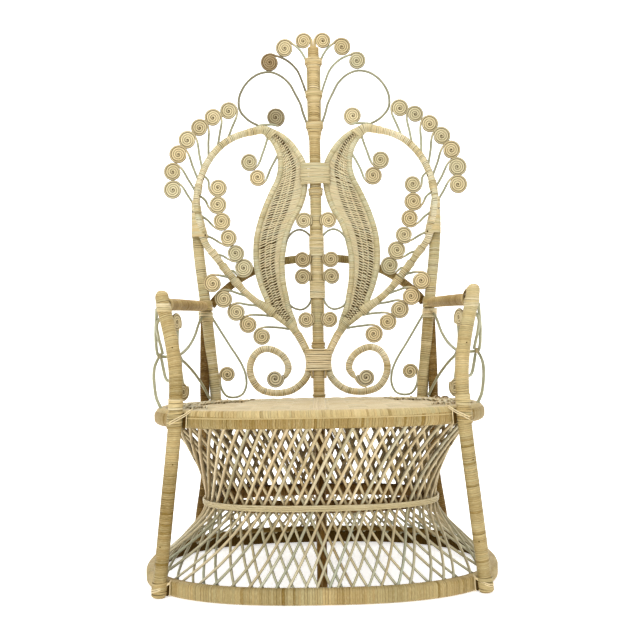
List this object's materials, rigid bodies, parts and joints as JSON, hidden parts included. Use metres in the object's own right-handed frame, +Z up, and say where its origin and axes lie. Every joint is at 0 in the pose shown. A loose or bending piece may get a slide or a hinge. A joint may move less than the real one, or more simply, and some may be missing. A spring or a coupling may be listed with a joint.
{
  "type": "peacock chair",
  "caption": "Rattan peacock armchair with a tall fan back of woven panels, scrolls and cane coils, a woven oval seat and an hourglass lattice skirt on a floor hoop.",
  "frame": {"origin": "middle of the footprint, on the floor", "axes": "+Z up, the sitter faces -Y, +X to the right seen from the front"},
  "size_m": [0.8638, 0.7105, 1.5102],
  "materials": {
    "wrapped_pole": "rattan pole wrapped in split cane, satin lacquer",
    "dark_pole": "bare brown rattan pole, satin",
    "panel_weave": "pale straw-coloured split cane weave",
    "seat_weave": "close split cane weave, satin",
    "curl_cane": "round peeled cane wound into flat coils",
    "skirt_cane": "round peeled cane"
  },
  "bodies": {
    "root": {"base_hoop": "wrapped_pole", "seat_rim_band": "wrapped_pole", "seat_rim_roll": "wrapped_pole", "waist_hoop": "dark_pole", "skirt_outer_canes": "skirt_cane", "skirt_inner_canes": "skirt_cane", "waist_band": "wrapped_pole", "seat_weave": "seat_weave", "seat_bar_front": "dark_pole", "seat_bar_middle": "dark_pole", "seat_bar_rear": "dark_pole", "front_strut": "dark_pole", "front_leg_right": "wrapped_pole", "back_leg_right": "dark_pole", "back_upright_right": "wrapped_pole", "arm_rail_right": "wrapped_pole", "heart_bow_right": "wrapped_pole", "woven_panel_right": "panel_weave", "scroll_right": "wrapped_pole", "arm_front_binding_right": "wrapped_pole", "arm_back_binding_right": "wrapped_pole", "seat_lashing_right": "wrapped_pole", "base_lashing_right": "wrapped_pole", "outer_fringe_right": "curl_cane", "inner_fringe_right": "curl_cane", "lower_fringe_right": "curl_cane", "heart_drops_right": "curl_cane", "centre_curls_right": "curl_cane", "crest_curls_right": "curl_cane", "teardrop_curl_right": "curl_cane", "arm_curls_right": "curl_cane", "front_leg_left": "wrapped_pole", "back_leg_left": "dark_pole", "back_upright_left": "wrapped_pole", "arm_rail_left": "wrapped_pole", "heart_bow_left": "wrapped_pole", "woven_panel_left": "panel_weave", "scroll_left": "wrapped_pole", "arm_front_binding_left": "wrapped_pole", "arm_back_binding_left": "wrapped_pole", "seat_lashing_left": "wrapped_pole", "base_lashing_left": "wrapped_pole", "outer_fringe_left": "curl_cane", "inner_fringe_left": "curl_cane", "lower_fringe_left": "curl_cane", "heart_drops_left": "curl_cane", "centre_curls_left": "curl_cane", "crest_curls_left": "curl_cane", "teardrop_curl_left": "curl_cane", "arm_curls_left": "curl_cane", "spine_pole": "wrapped_pole", "back_brace": "dark_pole", "panel_bridge": "panel_weave", "crest_collar_top": "wrapped_pole", "crest_collar_middle": "wrapped_pole", "crest_collar_lower": "wrapped_pole", "spine_binding_middle": "wrapped_pole", "spine_binding_upper": "wrapped_pole", "scroll_collar": "wrapped_pole"}
  },
  "joints": []
}
